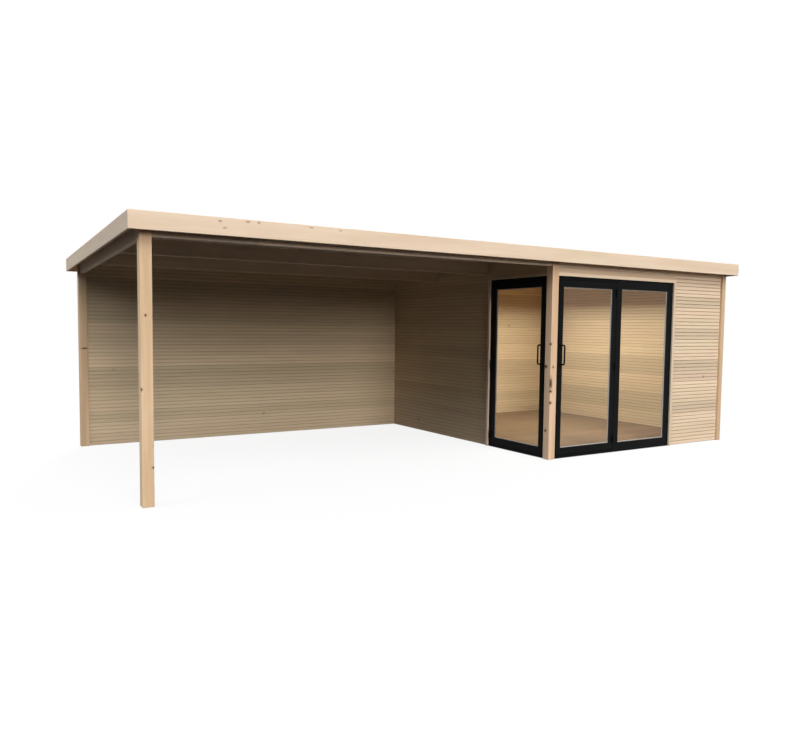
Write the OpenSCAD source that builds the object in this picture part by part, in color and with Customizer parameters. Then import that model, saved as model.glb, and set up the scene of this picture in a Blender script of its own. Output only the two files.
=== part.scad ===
// Flat-roofed timber garden room: an open lounge on the left, a closed room with a glazed corner on the right.
// Millimetres, +Z up, the front faces -Y. The plan is centred on the origin and the ground is z = 0.

/* [Building] */
// Depth over the corner posts
shed_d = 3280; // [2900:10:3700]
// Open lounge, from the left end to the room's corner post
lounge_w = 4187; // [3600:1:4800]
// Front wall between the door lining and the right-hand corner post
front_wall_w = 903; // [600:1:1200]
// Side of the square posts
post_w = 90; // [84:1:100]
// Width of the two right-hand corner posts
corner_w = 68; // [62:1:84]

/* [Wall boards] */
// Thickness of the ribbed wall boards
wall_t = 40; // [34:1:44]
// Height of one rib, groove to groove
rib_pitch = 43; // [38:1:60]
// Width of the grooves at the face
groove_w = 10; // [6:1:16]
// Depth of the grooves
groove_d = 7; // [4:1:10]

/* [Roof] */
// Overhang of the roof past the posts
overhang = 100; // [80:1:160]
// Lower edge of the front fascia above the underside of the front beam
eave_rise = 35; // [20:1:50]
// Height of the fascia boards
fascia_h = 140; // [125:1:180]
// Thickness of the fascia boards
fascia_t = 20; // [16:1:28]
// Fall of the roof from the front edge to the back edge
roof_fall = 100; // [60:1:120]
// Rim of the fascia above the roof covering
rim = 12; // [6:1:16]
// Thickness of the roof covering
cover_t = 4; // [2:1:6]
// Thickness of the roof boards
deck_t = 20; // [16:1:24]
// Thickness of beams and joists
beam_t = 45; // [40:1:50]
// Height of the joists and of the left end beam
joist_h = 135; // [115:1:150]
// Joists between the front beam and the back wall
joist_count = 2; // [1:1:4]
// Header between the front door's lining and the front beam
header_h = 63; // [40:1:120]

/* [Floor] */
// Height of the floor bearers
bearer_h = 40; // [30:1:50]
// Width of the floor bearers
bearer_w = 60; // [50:1:80]
// Number of floor bearers
bearer_count = 6; // [4:1:8]
// Thickness of the floor boards
floor_t = 20; // [18:1:28]

/* [Glazed doors] */
// Top of the black door frames
door_h = 1967; // [1900:1:1990]
// Width of the front doorway, corner post to lining
front_door_w = 1887; // [1780:1:1980]
// Width of both door leaves
leaf_w = 880; // [820:1:900]
// Thickness of leaves and fixed sash
leaf_t = 30; // [26:1:34]
// Width of the stiles
stile_w = 62; // [50:1:72]
// Height of the top and bottom rails
rail_h = 75; // [60:1:90]
// Face width of the door frames
frame_w = 28; // [24:1:36]
// Depth of the door frames
frame_d = 60; // [54:1:66]
// Reach of the stop behind the leaves
stop_w = 12; // [10:1:16]
// Set-back of the frames from the post faces
set_back = 20; // [18:1:24]
// Width of the mullion beside the front leaf
mullion_w = 18; // [16:1:30]
// Timber lining round the door frames
lining_w = 35; // [30:1:40]
// Thickness of the glass units
glass_t = 14; // [8:1:16]
// Bite of the glass in stiles and rails
glass_bite = 12; // [8:1:16]
// Running gap round the leaves
leaf_gap = 6; // [6:1:8]

/* [Handles and hinges] */
// Length of the pull handles between bar centres
pull_len = 205; // [150:1:260]
// Reach of the pull handles from the leaf
pull_reach = 72; // [60:1:80]
// Bar diameter of the pull handles
pull_d = 18; // [14:1:20]
// Height of the handles' middle above the ground
pull_z = 1125; // [950:1:1250]
// Hinges on each leaf
hinge_count = 3; // [2:1:4]
// Diameter of the hinge barrels
barrel_d = 16; // [14:1:18]
// Diameter of the hinge pins
pin_d = 8; // [6:1:9]
// Length of each hinge knuckle
knuckle_h = 45; // [35:1:60]
// Width of the hinge leaves
plate_w = 24; // [20:1:32]

/* [Hidden] */
// Gap left at a seat, a glazing groove and a running pin
fit = 0.3;
// Thickness of the hinge leaves
plate_t = 3;
// Space between a hinge barrel and the door's face
barrel_gap = 1;
// Space above a hinge pin inside its knuckle
pin_gap = 2;
spruce = "burlywood";
shade_spruce = "tan";
floor_brown = "sienna";
black_metal = "#1b1d1f";
clear_glass = [0.75, 0.85, 0.88, 0.35];
roof_grey = "dimgray";

// Levels over the doors, which set the height of the roof
lining_top = door_h + lining_w;
beam_z = lining_top + header_h;
eave_h = beam_z + eave_rise;

// Roof levels: every height falls with y, measured from the roof's front edge
roof_d = shed_d + 2 * overhang;
deck_under = eave_h + fascia_h - rim - cover_t - deck_t;
function drop(y) = (y + overhang) * roof_fall / roof_d;
function under(y) = deck_under - drop(y);
function seat(y) = under(y) - fit;

// Walls and beams stand in the middle of the posts' depth
wall_in = (post_w - wall_t) / 2;
beam_in = (post_w - beam_t) / 2;
back_face = shed_d - post_w + wall_in;
shed_w = lounge_w + post_w + front_door_w + lining_w + front_wall_w + corner_w;
right_face = shed_w - (corner_w + wall_t) / 2;
partition_x = lounge_w + wall_in;

// Front door: corner post, frame, leaf, mullion, fixed sash, frame, lining
door_x = lounge_w + post_w;
door_end = door_x + front_door_w;
front_leaf_x = door_x + frame_w + leaf_gap;
mullion_x = front_leaf_x + leaf_w + leaf_gap;
sash_x = mullion_x + mullion_w + fit;
sash_w = door_end - frame_w - fit - sash_x;

// Side door, along y from the back of the corner post
side_door_w = leaf_w + 2 * (leaf_gap + frame_w);
side_end = post_w + side_door_w;
side_leaf_y = post_w + frame_w + leaf_gap;

leaf_z = frame_w + leaf_gap;
leaf_h = door_h - 2 * leaf_z;
sash_z = frame_w + fit;
sash_h = door_h - 2 * sash_z;
stop_y = set_back + leaf_t + leaf_gap;
glass_y = set_back + (leaf_t - glass_t) / 2;
pin_off = barrel_d / 2 + barrel_gap;

floor_x = lounge_w + post_w;
floor_y = post_w;
joist_pitch = (back_face - post_w) / (joist_count + 1);

// Moves a shape drawn from the front left corner of the posts to the centred plan
module plan() {
    translate([-shed_w / 2, -shed_d / 2, 0]) children();
}

// Box from one corner to the opposite one
module block(from, to) {
    translate(from) cube(to - from);
}

// Profile in y and z carried along x
module along_x(x, length, points) {
    translate([x, 0, 0])
        rotate([90, 0, 90])
            linear_extrude(length)
                polygon(points);
}

// Profile in x and z carried along y
module along_y(y, length, points) {
    translate([0, y + length, 0])
        rotate([90, 0, 0])
            linear_extrude(length)
                polygon(points);
}

// Upright piece whose top seats under the falling roof boards
module under_roof(x, y, w, d, z = 0) {
    along_x(x, w, [[y, z], [y + d, z], [y + d, seat(y + d)], [y, seat(y)]]);
}

// Piece of constant height h whose top lies lift above the roof boards' underside
module falling(x, y, w, d, h, lift) {
    top = [under(y) + lift, under(y + d) + lift];
    along_x(x, w, [[y, top[0] - h], [y + d, top[1] - h], [y + d, top[1]], [y, top[0]]]);
}

// Grooves up one face of a wall: each a shallow trapezium, sunk by depth from the face
function grooves(face, depth, height) = [
    for (i = [1 : floor((height - groove_w) / rib_pitch)])
        each [
            [face, i * rib_pitch - groove_w / 2],
            [face + depth, i * rib_pitch - groove_w / 4],
            [face + depth, i * rib_pitch + groove_w / 4],
            [face, i * rib_pitch + groove_w / 2]
        ]
];

function reversed(points) = [for (i = [len(points) - 1 : -1 : 0]) points[i]];

// Section of a wall of stacked boards, ribbed on both faces
function ribbed(face, height) = concat(
    [[face, 0]],
    grooves(face, groove_d, height),
    [[face, height], [face + wall_t, height]],
    reversed(grooves(face + wall_t, -groove_d, height)),
    [[face + wall_t, 0]]
);

// Ribbed wall across the depth, its top cut to the falling roof
module end_wall(x, y, length) {
    intersection() {
        along_y(y, length, ribbed(x, seat(y)));
        under_roof(x, y, wall_t, length);
    }
}

// Turns a door drawn along x, facing -y, to the partition: it then runs along y and faces -x
module on_side() {
    translate([lounge_w, 0, 0])
        mirror([1, -1, 0])
            children();
}

module front_left_post() {
    color(spruce) plan() under_roof(0, 0, post_w, post_w);
}

module back_left_post() {
    color(spruce) plan() under_roof(0, shed_d - post_w, post_w, post_w);
}

module door_corner_post() {
    color(spruce) plan() under_roof(lounge_w, 0, post_w, post_w);
}

module front_right_post() {
    color(spruce) plan() under_roof(shed_w - corner_w, 0, corner_w, post_w);
}

module back_right_post() {
    color(spruce) plan() under_roof(shed_w - corner_w, shed_d - post_w, corner_w, post_w);
}

module back_wall() {
    color(shade_spruce) plan()
        along_x(post_w, shed_w - corner_w - post_w, ribbed(back_face, seat(back_face + wall_t)));
}

module right_wall() {
    color(shade_spruce) plan() end_wall(right_face, post_w, shed_d - 2 * post_w);
}

module partition_wall() {
    start = side_end + lining_w;
    color(shade_spruce) plan() end_wall(partition_x, start, back_face - start);
}

module side_header() {
    length = side_end + lining_w - post_w;
    color(shade_spruce) plan() under_roof(partition_x, post_w, wall_t, length, lining_top);
}

module front_wall() {
    color(spruce) plan() along_x(door_end + lining_w, front_wall_w, ribbed(wall_in, beam_z));
}

module front_header() {
    color(spruce) plan()
        block([door_x, wall_in, lining_top], [door_end + lining_w, wall_in + wall_t, beam_z]);
}

module front_beam() {
    color(spruce) plan() {
        under_roof(post_w, beam_in, lounge_w - post_w, beam_t, beam_z);
        under_roof(door_x, beam_in, shed_w - corner_w - door_x, beam_t, beam_z);
    }
}

module left_beam() {
    color(spruce) plan() falling(beam_in, post_w, beam_t, shed_d - 2 * post_w, joist_h, -fit);
}

// Row of joists between two faces along x
module joists(x, length) {
    for (i = [1 : joist_count]) {
        falling(x, post_w + i * joist_pitch - beam_t / 2, length, beam_t, joist_h, -fit);
    }
}

module lounge_joists() {
    x = beam_in + beam_t;
    color(shade_spruce) plan() joists(x, partition_x - x);
}

module room_joists() {
    x = partition_x + wall_t;
    color(shade_spruce) plan() joists(x, right_face - x);
}

module roof_boards() {
    edge = overhang - fascia_t;
    color(shade_spruce) plan()
        falling(-edge, -edge, shed_w + 2 * edge, shed_d + 2 * edge, deck_t, deck_t);
}

module roof_covering() {
    edge = overhang - fascia_t;
    color(roof_grey) plan()
        falling(-edge, -edge, shed_w + 2 * edge, shed_d + 2 * edge, cover_t, deck_t + cover_t);
}

// Long fascia board with its outer face at the roof edge
module long_fascia(y, z) {
    block([-overhang, y, z], [shed_w + overhang, y + fascia_t, z + fascia_h]);
}

module front_fascia() {
    color(spruce) plan() long_fascia(-overhang, eave_h);
}

module back_fascia() {
    color(spruce) plan() long_fascia(shed_d + overhang - fascia_t, eave_h - roof_fall);
}

// End fascia between the long ones, falling with the roof
module end_fascia(x) {
    edge = overhang - fascia_t;
    lift = deck_t + cover_t + rim;
    falling(x, -edge, fascia_t, shed_d + 2 * edge, fascia_h, lift);
}

module left_fascia() {
    color(spruce) plan() end_fascia(-overhang);
}

module right_fascia() {
    color(spruce) plan() end_fascia(shed_w + overhang - fascia_t);
}

module floor_bearers() {
    run = shed_d - post_w - bearer_w - floor_y;
    color(shade_spruce) plan()
        for (i = [0 : bearer_count - 1]) {
            y = floor_y + i * run / (bearer_count - 1);
            block([floor_x, y, 0], [shed_w - corner_w, y + bearer_w, bearer_h]);
        }
}

module floor_boards() {
    post_x = shed_w - corner_w;
    post_y = shed_d - post_w;
    color(floor_brown) plan() translate([0, 0, bearer_h]) linear_extrude(floor_t) polygon([
        [floor_x, floor_y], [right_face, floor_y], [right_face, post_y],
        [post_x, post_y], [post_x, back_face], [floor_x, back_face]
    ]);
}

module front_lining_head() {
    color(spruce) plan() block([door_x, 0, door_h], [door_end + lining_w, post_w, lining_top]);
}

module front_lining_jamb() {
    color(spruce) plan() block([door_end, 0, 0], [door_end + lining_w, post_w, door_h]);
}

module side_lining_head() {
    color(spruce) plan() on_side() block([post_w, 0, door_h], [side_end + lining_w, post_w, lining_top]);
}

module side_lining_jamb() {
    color(spruce) plan() on_side() block([side_end, 0, 0], [side_end + lining_w, post_w, door_h]);
}

// Head and sill of a door frame with the stop behind the leaf
module frame_rails(x, length) {
    back = set_back + frame_d;
    block([x, set_back, 0], [x + length, back, frame_w]);
    block([x, stop_y, 0], [x + length, back, frame_w + stop_w]);
    block([x, set_back, door_h - frame_w], [x + length, back, door_h]);
    block([x, stop_y, door_h - frame_w - stop_w], [x + length, back, door_h]);
}

// Upright of a door frame: face at x, its stop reaching stop_reach past either side
module frame_upright(x, width, stop_left, stop_right) {
    back = set_back + frame_d;
    low = frame_w;
    high = door_h - frame_w;
    block([x, set_back, low], [x + width, stop_y, high]);
    block([x - stop_left, stop_y, low + stop_w], [x + width + stop_right, back, high - stop_w]);
}

module front_frame_rails() {
    color(black_metal) plan() frame_rails(door_x, front_door_w);
}

module front_frame_jambs() {
    color(black_metal) plan() {
        frame_upright(door_x, frame_w, 0, stop_w);
        frame_upright(mullion_x, mullion_w, stop_w + leaf_gap, 0);
        frame_upright(door_end - frame_w, frame_w, 0, 0);
    }
}

module side_frame_rails() {
    color(black_metal) plan() on_side() frame_rails(post_w, side_door_w);
}

module side_frame_jambs() {
    color(black_metal) plan() on_side() {
        frame_upright(post_w, frame_w, 0, stop_w);
        frame_upright(side_end - frame_w, frame_w, stop_w + leaf_gap, 0);
    }
}

// Space of a glass unit and its groove: inside the sash's members, sunk into them by the bite
module glass_space(x, z, width, height, play) {
    in = glass_bite - play;
    block(
        [x + stile_w - in, glass_y + play, z + rail_h - in],
        [x + width - stile_w + in, glass_y + glass_t - play, z + height - rail_h + in]
    );
}

// Pair of full-height stiles of a sash, grooved for the glass
module stiles(x, z, width, height) {
    difference() {
        for (left = [x, x + width - stile_w]) {
            block([left, set_back, z], [left + stile_w, set_back + leaf_t, z + height]);
        }
        glass_space(x, z, width, height, 0);
    }
}

// Top and bottom rails between the stiles, grooved for the glass
module rails(x, z, width, height) {
    difference() {
        for (low = [z, z + height - rail_h]) {
            block(
                [x + stile_w, set_back, low],
                [x + width - stile_w, set_back + leaf_t, low + rail_h]
            );
        }
        glass_space(x, z, width, height, 0);
    }
}

module fixed_sash_stiles() {
    color(black_metal) plan() stiles(sash_x, sash_z, sash_w, sash_h);
}

module fixed_sash_rails() {
    color(black_metal) plan() rails(sash_x, sash_z, sash_w, sash_h);
}

module fixed_sash_glass() {
    color(clear_glass) plan() glass_space(sash_x, sash_z, sash_w, sash_h, fit);
}

module front_leaf_stiles() {
    color(black_metal) plan() stiles(front_leaf_x, leaf_z, leaf_w, leaf_h);
}

module front_leaf_rails() {
    color(black_metal) plan() rails(front_leaf_x, leaf_z, leaf_w, leaf_h);
}

module front_leaf_glass() {
    color(clear_glass) plan() glass_space(front_leaf_x, leaf_z, leaf_w, leaf_h, fit);
}

module side_leaf_stiles() {
    color(black_metal) plan() on_side() stiles(side_leaf_y, leaf_z, leaf_w, leaf_h);
}

module side_leaf_rails() {
    color(black_metal) plan() on_side() rails(side_leaf_y, leaf_z, leaf_w, leaf_h);
}

module side_leaf_glass() {
    color(clear_glass) plan() on_side() glass_space(side_leaf_y, leaf_z, leaf_w, leaf_h, fit);
}

// D-shaped pull: a grip, two quarter bends and two legs, its legs ending on the leaf's face
module pull_handle(x) {
    bend = pull_d;
    leg = pull_reach - pull_d / 2 - bend;
    grip = pull_len - 2 * bend;
    translate([x, set_back, pull_z]) {
        translate([0, -leg - bend, -grip / 2]) cylinder(d = pull_d, h = grip, $fn = 48);
        for (end = [0, 1]) {
            mirror([0, 0, end]) translate([0, -leg, grip / 2]) {
                rotate([90, 0, -90])
                    rotate_extrude(angle = 90, $fn = 48)
                        translate([bend, 0]) circle(d = pull_d, $fn = 48);
                translate([0, 0, bend]) rotate([-90, 0, 0]) cylinder(d = pull_d, h = leg, $fn = 48);
            }
        }
    }
}

module front_leaf_handle() {
    color(black_metal) plan() pull_handle(front_leaf_x + stile_w / 2);
}

module side_leaf_handle() {
    color(black_metal) plan() on_side() pull_handle(side_leaf_y + stile_w / 2);
}

// Repeats a hinge half at each hinge's middle height
module each_hinge(x) {
    end_z = leaf_z + rail_h + knuckle_h;
    run = door_h - 2 * end_z;
    for (i = [0 : hinge_count - 1]) {
        translate([x, set_back - pin_off, end_z + i * run / (hinge_count - 1)]) children();
    }
}

// Lower hinge half on the frame: knuckle, standing pin and a leaf screwed to the frame's face
module hinge_pin() {
    translate([0, 0, -knuckle_h]) {
        cylinder(d = barrel_d, h = knuckle_h, $fn = 48);
        cylinder(d = pin_d, h = 2 * knuckle_h - pin_gap, $fn = 48);
        block([0, pin_off - plate_t, 0], [leaf_gap / 2 + mullion_w, pin_off, knuckle_h]);
    }
}

// Upper hinge half on the leaf: bored knuckle and a leaf screwed to the stile's face
module hinge_knuckle() {
    translate([0, 0, fit])
        difference() {
            union() {
                cylinder(d = barrel_d, h = knuckle_h - fit, $fn = 48);
                block([-leaf_gap / 2 - plate_w, pin_off - plate_t, 0], [0, pin_off, knuckle_h - fit]);
            }
            translate([0, 0, -1]) cylinder(d = pin_d + 2 * fit, h = knuckle_h, $fn = 48);
        }
}

module front_hinge_pins() {
    color(black_metal) plan() each_hinge(mullion_x - leaf_gap / 2) hinge_pin();
}

module front_leaf_knuckles() {
    color(black_metal) plan() each_hinge(mullion_x - leaf_gap / 2) hinge_knuckle();
}

module side_hinge_pins() {
    color(black_metal) plan() on_side() each_hinge(side_end - frame_w - leaf_gap / 2) hinge_pin();
}

module side_leaf_knuckles() {
    color(black_metal) plan() on_side() each_hinge(side_end - frame_w - leaf_gap / 2) hinge_knuckle();
}

front_left_post();
back_left_post();
door_corner_post();
front_right_post();
back_right_post();
back_wall();
right_wall();
partition_wall();
side_header();
front_wall();
front_header();
front_beam();
left_beam();
lounge_joists();
room_joists();
roof_boards();
roof_covering();
front_fascia();
back_fascia();
left_fascia();
right_fascia();
floor_bearers();
floor_boards();
front_lining_head();
front_lining_jamb();
side_lining_head();
side_lining_jamb();
front_frame_rails();
front_frame_jambs();
side_frame_rails();
side_frame_jambs();
fixed_sash_stiles();
fixed_sash_rails();
fixed_sash_glass();
front_leaf_stiles();
front_leaf_rails();
front_leaf_glass();
front_leaf_handle();
side_leaf_stiles();
side_leaf_rails();
side_leaf_glass();
side_leaf_handle();
front_hinge_pins();
front_leaf_knuckles();
side_hinge_pins();
side_leaf_knuckles();
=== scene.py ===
"""Looks of a flat-roofed timber garden room with an open lounge and a glazed corner.

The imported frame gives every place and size. Each operator below dresses one group of pieces in it.
"""

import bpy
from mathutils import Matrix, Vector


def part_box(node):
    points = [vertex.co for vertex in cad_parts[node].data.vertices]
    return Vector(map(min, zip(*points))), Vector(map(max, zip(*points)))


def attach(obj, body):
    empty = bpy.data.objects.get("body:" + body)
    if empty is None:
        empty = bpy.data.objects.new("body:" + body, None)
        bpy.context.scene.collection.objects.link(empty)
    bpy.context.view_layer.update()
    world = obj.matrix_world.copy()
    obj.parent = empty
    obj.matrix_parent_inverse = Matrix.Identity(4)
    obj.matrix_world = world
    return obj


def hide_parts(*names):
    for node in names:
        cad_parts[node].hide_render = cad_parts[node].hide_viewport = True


bl_info = {
    "name": "Garden Room Looks",
    "version": (1, 0, 0),
    "blender": (4, 5, 0),
    "location": "View3D > Sidebar > Garden Room",
    "description": "Dresses the garden room's frame with spruce, roofing felt, black joinery and glass",
    "category": "Object",
}

import math
from functools import partial

import bpy
import numpy as np
from mathutils import Matrix, Vector

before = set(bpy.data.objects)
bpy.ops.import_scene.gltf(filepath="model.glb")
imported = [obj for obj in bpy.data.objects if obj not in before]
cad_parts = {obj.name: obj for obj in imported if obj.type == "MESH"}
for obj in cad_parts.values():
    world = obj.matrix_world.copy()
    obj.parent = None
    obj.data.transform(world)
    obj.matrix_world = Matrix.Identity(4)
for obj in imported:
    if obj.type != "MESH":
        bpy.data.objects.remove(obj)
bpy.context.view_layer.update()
SHED, FRONT_LEAF, SIDE_LEAF = "shed", "front_leaf", "side_leaf"

# Fall of the roof per metre of depth: the end fascias are taller than the front one by that fall
FRONT_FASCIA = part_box("front_fascia")
LEFT_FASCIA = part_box("left_fascia")
FASCIA_H = FRONT_FASCIA[1].z - FRONT_FASCIA[0].z
FASCIA_RUN = LEFT_FASCIA[1].y - LEFT_FASCIA[0].y
FALL = (LEFT_FASCIA[1].z - LEFT_FASCIA[0].z - FASCIA_H) / FASCIA_RUN
ROOF_LOW, ROOF_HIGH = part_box("roof_boards")

# First seeds of the boards' random tones
WALL_SEED, JOIST_SEED, ROOF_SEED, FLOOR_SEED = 20, 32, 40, 60

# Points along a seal's bead and a handle's bend, sides of a handle's bar, and the least angle of sharp edges
BEAD_POINTS, BEND_POINTS, BAR_SIDES = 5, 9, 20
SHARP_EDGE = math.radians(40)
QUARTER = math.pi / 2

# Knots that stand out, by node: place from its low corner and half sizes along x, y and z, all in metres
POST_KNOTS = {
    "front_left_post": (
        (0.038, 0.000, 1.472, 0.008, 0.010, 0.010),
        (0.000, 0.006, 0.910, 0.009, 0.014, 0.012),
        (0.086, 0.000, 0.306, 0.012, 0.016, 0.008),
    ),
    "back_left_post": ((0.054, 0.000, 1.125, 0.030, 0.012, 0.008),),
    "door_corner_post": (
        (0.010, 0.000, 0.823, 0.016, 0.012, 0.056),
        (0.009, 0.000, 0.738, 0.016, 0.012, 0.015),
        (0.000, 0.008, 1.242, 0.012, 0.014, 0.012),
        (0.000, 0.070, 1.000, 0.008, 0.020, 0.016),
        (0.037, 0.000, 0.996, 0.010, 0.008, 0.011),
        (0.009, 0.000, 0.615, 0.014, 0.010, 0.014),
        (0.000, 0.058, 0.312, 0.008, 0.014, 0.014),
    ),
}
FASCIA_KNOTS = {
    "front_fascia": (
        (0.684, 0.000, 0.110, 0.011, 0.010, 0.006),
        (0.909, 0.000, 0.122, 0.014, 0.010, 0.006),
        (1.000, 0.000, 0.122, 0.009, 0.010, 0.007),
        (0.723, 0.000, 0.060, 0.012, 0.010, 0.005),
        (1.460, 0.000, 0.121, 0.013, 0.010, 0.004),
        (1.730, 0.000, 0.117, 0.010, 0.010, 0.004),
    ),
}

# Finishes with two colours: what bears them, the main colour and the one that varies it
FINISHES = {
    "post": ("Posts", (0.820, 0.600, 0.420), (0.640, 0.435, 0.275)),
    "fascia": ("Fascias and linings", (0.905, 0.735, 0.600), (0.800, 0.625, 0.480)),
    "wall": ("Wall boards", (0.885, 0.710, 0.550), (0.745, 0.575, 0.420)),
    "roof": ("Roof boards", (0.760, 0.625, 0.510), (0.580, 0.460, 0.365)),
    "floor": ("Oiled floor boards", (0.260, 0.175, 0.105), (0.190, 0.120, 0.068)),
    "sawn": ("Sawn floor bearers", (0.420, 0.330, 0.235), (0.300, 0.220, 0.145)),
    "felt": ("Roofing felt", (0.050, 0.051, 0.053), (0.120, 0.115, 0.105)),
    "coat": ("Black powder coat", (0.0026, 0.0031, 0.0031), (0.0052, 0.0058, 0.0057)),
    "rubber": ("Rubber seals", (0.010, 0.010, 0.010), (0.020, 0.020, 0.020)),
    "spacer": ("Bars between the panes", (0.500, 0.490, 0.470), (0.620, 0.610, 0.590)),
}

# Far lights: strength, colour, softness in degrees and where each comes from
SUNS = {
    "key": (1.55, (1.00, 0.97, 0.92), 27.0, (-0.03, -0.955, 0.295)),
    "high": (1.20, (1.00, 0.97, 0.92), 32.0, (-0.10, -0.64, 0.76)),
    "side": (1.35, (0.88, 0.94, 1.00), 32.0, (-0.83, -0.14, 0.535)),
    "back": (1.90, (1.00, 0.97, 0.92), 32.0, (0.50, 0.80, 0.33)),
}

# Spruce grain: shift of the pattern from the lowest board value to the highest in metres, turns of the growth
# lines per metre and how far the bends push them
BOARD_SHIFT = (23.0, 5.7, 3.1)
LINE_TURNS, LINE_BEND = 900.0, 42.0
# Cell of the chance knots and half the size of a knot, in metres
KNOT_CELL, KNOT_SIZE = (0.46, 0.075, 0.075), 0.013
# Shares of growth lines, fibres and knot rings in the colour, and step that spreads the casts over the boards
LINE_SHARE, FIBRE_SHARE, RING_SHARE, CAST_STEP = 0.25, 0.12, 0.5, 7.31
# Painted shade: share of the colour left in the grooves between wall ribs and at the seams of felt
GROOVE_LIGHT, SEAM_LIGHT = 0.5, 0.45
# Gloss and roughness of planed wood, and strength and depth in metres of its relief
WOOD_GLOSS, WOOD_ROUGHNESS, WOOD_RELIEF, WOOD_DEPTH = 0.25, (0.58, 0.74), 0.45, 0.0004
# Coats and felt: share of the grains in the colour, strength of their relief and how much they roughen
GRAIN_SHARE, GRAIN_RELIEF, GRAIN_ROUGHNESS = 0.5, 0.4, 0.12
# Glass: roughness between its smears and on them, and its pale veil seen square on and at a glance, which
# paints reflection
SMEAR_ROUGHNESS, VEIL = (0.01, 0.06), (0.035, 0.7)
# Stage: depth of the floor under the posts, its paint, height of the dome's soft edge, and the sensor in mm
FLOOR_DROP, FLOOR_PAINT, DOME_EDGE, SENSOR = 0.002, (0.95, 0.95, 0.95), (0.28, 0.62), 36.0
WHITE = (1.0, 1.0, 1.0, 1.0)


def prop(kind, name, description, default, **limits):
    """A value that a user may change."""
    return kind(name=name, description=description, default=default, **limits)


length = partial(prop, bpy.props.FloatProperty, min=0.0, precision=4, unit="LENGTH")
amount = partial(prop, bpy.props.FloatProperty, min=0.0)
angle = partial(prop, bpy.props.FloatProperty, subtype="ANGLE")
count = partial(prop, bpy.props.IntProperty)
tint = partial(prop, bpy.props.FloatVectorProperty, size=3, min=0.0, max=1.0, subtype="COLOR")
spot = partial(prop, bpy.props.FloatVectorProperty, size=3, subtype="XYZ")


class TimberSizes(bpy.types.PropertyGroup):
    """Sizes of planed timber and boards"""

    ease: length("Eased edge", "Radius of the planed edges of posts, beams and fascias", 0.003)
    rib_pitch: length("Rib pitch", "Height of one rib of the wall boards", 0.043)
    rib_ease: length("Rib rounding", "Height of the rounding at the ribs' edges", 0.0065)
    rib_depth: length("Rib depth", "Depth of the grooves between the ribs", 0.010)
    # The inner share also weakens the painted shade in those grooves
    inner_share: amount("Inner groove", "Share of a groove's depth inside lounge and room", 0.65, max=1.0)
    ribs_per_board: count("Ribs per board", "Ribs worked into one wall board", 3, min=1)
    roof_board: length("Roof board", "Width of the roof boards", 0.096)
    floor_board: length("Floor board", "Width of the floor boards", 0.124)
    board_gap: length("Board gap", "Open joint between boards", 0.0012)
    board_ease: length("Board chamfer", "Radius of the roof and floor boards' edges", 0.004)
    beam_joint: length("Beam joint", "Butt joint of the front beam from the left post's outer face", 0.945)


class RoofSizes(bpy.types.PropertyGroup):
    """Sizes of the roofing felt"""

    sheet_w: length("Sheet width", "Width of one sheet between laps", 0.92)
    lap_w: length("Lap", "Width of the raised lap", 0.09)
    lap_t: length("Lap rise", "Height of the lap over the sheet", 0.004)
    steps: count("Points per sheet", "Points across one sheet", 12, min=6)


class FittingSizes(bpy.types.PropertyGroup):
    """Sizes of the seals round the glass and of the pull handles"""

    gasket: length("Gasket", "Face width of the rubber seal", 0.006)
    spacer_w: length("Spacer", "Face width of the bar between the panes", 0.011)
    spacer_t: length("Spacer depth", "Depth of the bar between the panes", 0.008)
    rose_d: length("Rose", "Diameter of the discs at the handle's feet", 0.030)
    rose_t: length("Rose thickness", "Thickness of those discs", 0.005)
    bend: length("Bend", "Radius of the handle's bends", 0.016)


class Colours(bpy.types.PropertyGroup):
    """Colours of the finishes"""

    # Painted shade: cast that darkens the wall boards facing lounge or room
    sheltered: tint("Sheltered boards", "Cast of wall boards that face lounge or room", (0.855, 0.860, 0.800))
    rosy: tint("Rosy board", "Cast of the rosier boards", (1.000, 0.955, 0.945))
    straw: tint("Straw board", "Cast of the yellower boards", (0.970, 0.985, 0.920))
    knot: tint("Knot", "Heart of the knots", (0.052, 0.026, 0.014))
    knot_ring: tint("Knot ring", "Wood round the knots", (0.400, 0.225, 0.105))
    # The glass colour is the pale veil, which paints the glass's reflection
    glass: tint("Glass", "Tint of the glass's reflections", (0.860, 0.900, 0.890))


for family, (owner, base, varied) in FINISHES.items():
    Colours.__annotations__.update({
        family + "_main": tint(owner, "Main colour", base),
        family + "_second": tint(owner + ", second", "Colour that varies it", varied),
    })


class StageSettings(bpy.types.PropertyGroup):
    """Floor, light and camera"""

    floor_size: length("Floor", "Side of the square floor", 80.0)
    floor_shade: amount("Floor shade", "Share of shadow that the white floor shows", 0.15, max=1.0)
    floor_bounce: tint("Floor bounce", "Floor colour as other surfaces see it", (0.028, 0.028, 0.027))
    sky: tint("Sky", "Colour of the soft surround", (0.88, 0.96, 1.00))
    dome: amount("Dome", "Strength of the surround overhead", 0.60)
    horizon: amount("Horizon", "Strength of the surround at eye level", 0.02)
    fill_colour: tint("Room light colour", "Colour of the soft light in the room", (1.00, 0.97, 0.80))
    fill: amount("Room light", "Strength of the soft light in the room", 48.0)
    fill_size: length("Room light size", "Side of the square light in the room", 2.3)
    fill_drop: length("Room light drop", "Depth of that light under the joists", 0.23)
    eye: spot("Eye", "Camera position", (-4.753, -7.218, 1.401))
    yaw: angle("Yaw", "Turn from +Y towards +X", math.radians(31.498))
    pitch: angle("Pitch", "Upward tilt", math.radians(-3.747))
    roll: angle("Roll", "Turn about the line of sight", math.radians(0.613))
    lens: amount("Lens", "Focal length in millimetres", 32.453)


for sun, (strength, colour, softness, way) in SUNS.items():
    StageSettings.__annotations__.update({
        sun: amount(f"{sun.title()} light", "Strength of that light", strength),
        sun + "_colour": tint(f"{sun.title()} colour", "Colour of that light", colour),
        sun + "_angle": angle(f"{sun.title()} softness", "Angle of that light", math.radians(softness)),
        sun + "_from": spot(f"{sun.title()} from", "Where that light comes from", way),
    })


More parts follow.
